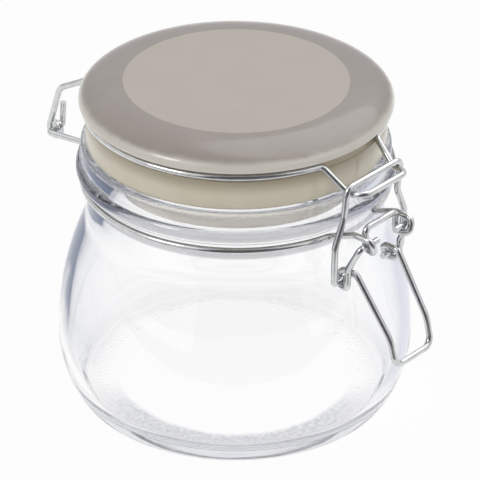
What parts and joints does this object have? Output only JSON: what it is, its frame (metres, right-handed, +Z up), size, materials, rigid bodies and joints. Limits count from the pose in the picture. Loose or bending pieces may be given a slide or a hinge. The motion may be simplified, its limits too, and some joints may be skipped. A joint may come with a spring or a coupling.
{
  "type": "clip-top jar",
  "caption": "Squat clear glass storage jar with a wide mouth, a glazed ceramic lid on a rubber ring, and a wire clip closure with a rear hinge.",
  "frame": {"origin": "centre of the flat base, on the surface that the jar stands on", "axes": "+Z up along the jar's axis, -Y towards the clasp, +Y towards the lid hinge"},
  "size_m": [0.11, 0.1396, 0.1054],
  "materials": {
    "glass": "clear, smooth pressed glass",
    "rubber": "matt, cream",
    "ceramic": "cream glaze with a taupe ring",
    "wire": "bright drawn steel wire"
  },
  "bodies": {
    "jar": {"glass_jar": "glass", "neck_wire": "wire"},
    "lid": {"lid": "ceramic", "gasket": "rubber", "lid_wire": "wire"},
    "lever": {"lever": "wire"},
    "bail": {"bail": "wire"}
  },
  "joints": [
    {"name": "lid_hinge", "type": "hinge", "parent": "jar", "child": "lid", "pos_m": [0, 0.0648, 0.0705], "axis": [-1, 0, 0], "range_deg": [0, 105]},
    {"name": "lever_swing", "type": "hinge", "parent": "jar", "child": "lever", "pos_m": [0, -0.0588, 0.0741], "axis": [-1, 0, 0], "range_deg": [0, 100]},
    {"name": "bail_swing", "type": "hinge", "parent": "lever", "child": "bail", "pos_m": [0, -0.0522, 0.0613], "axis": [1, 0, 0], "range_deg": [0, 125]}
  ],
  "couplings": [
    {"joint": "bail_swing", "follows": "lever_swing", "ratio": 1.25}
  ]
}
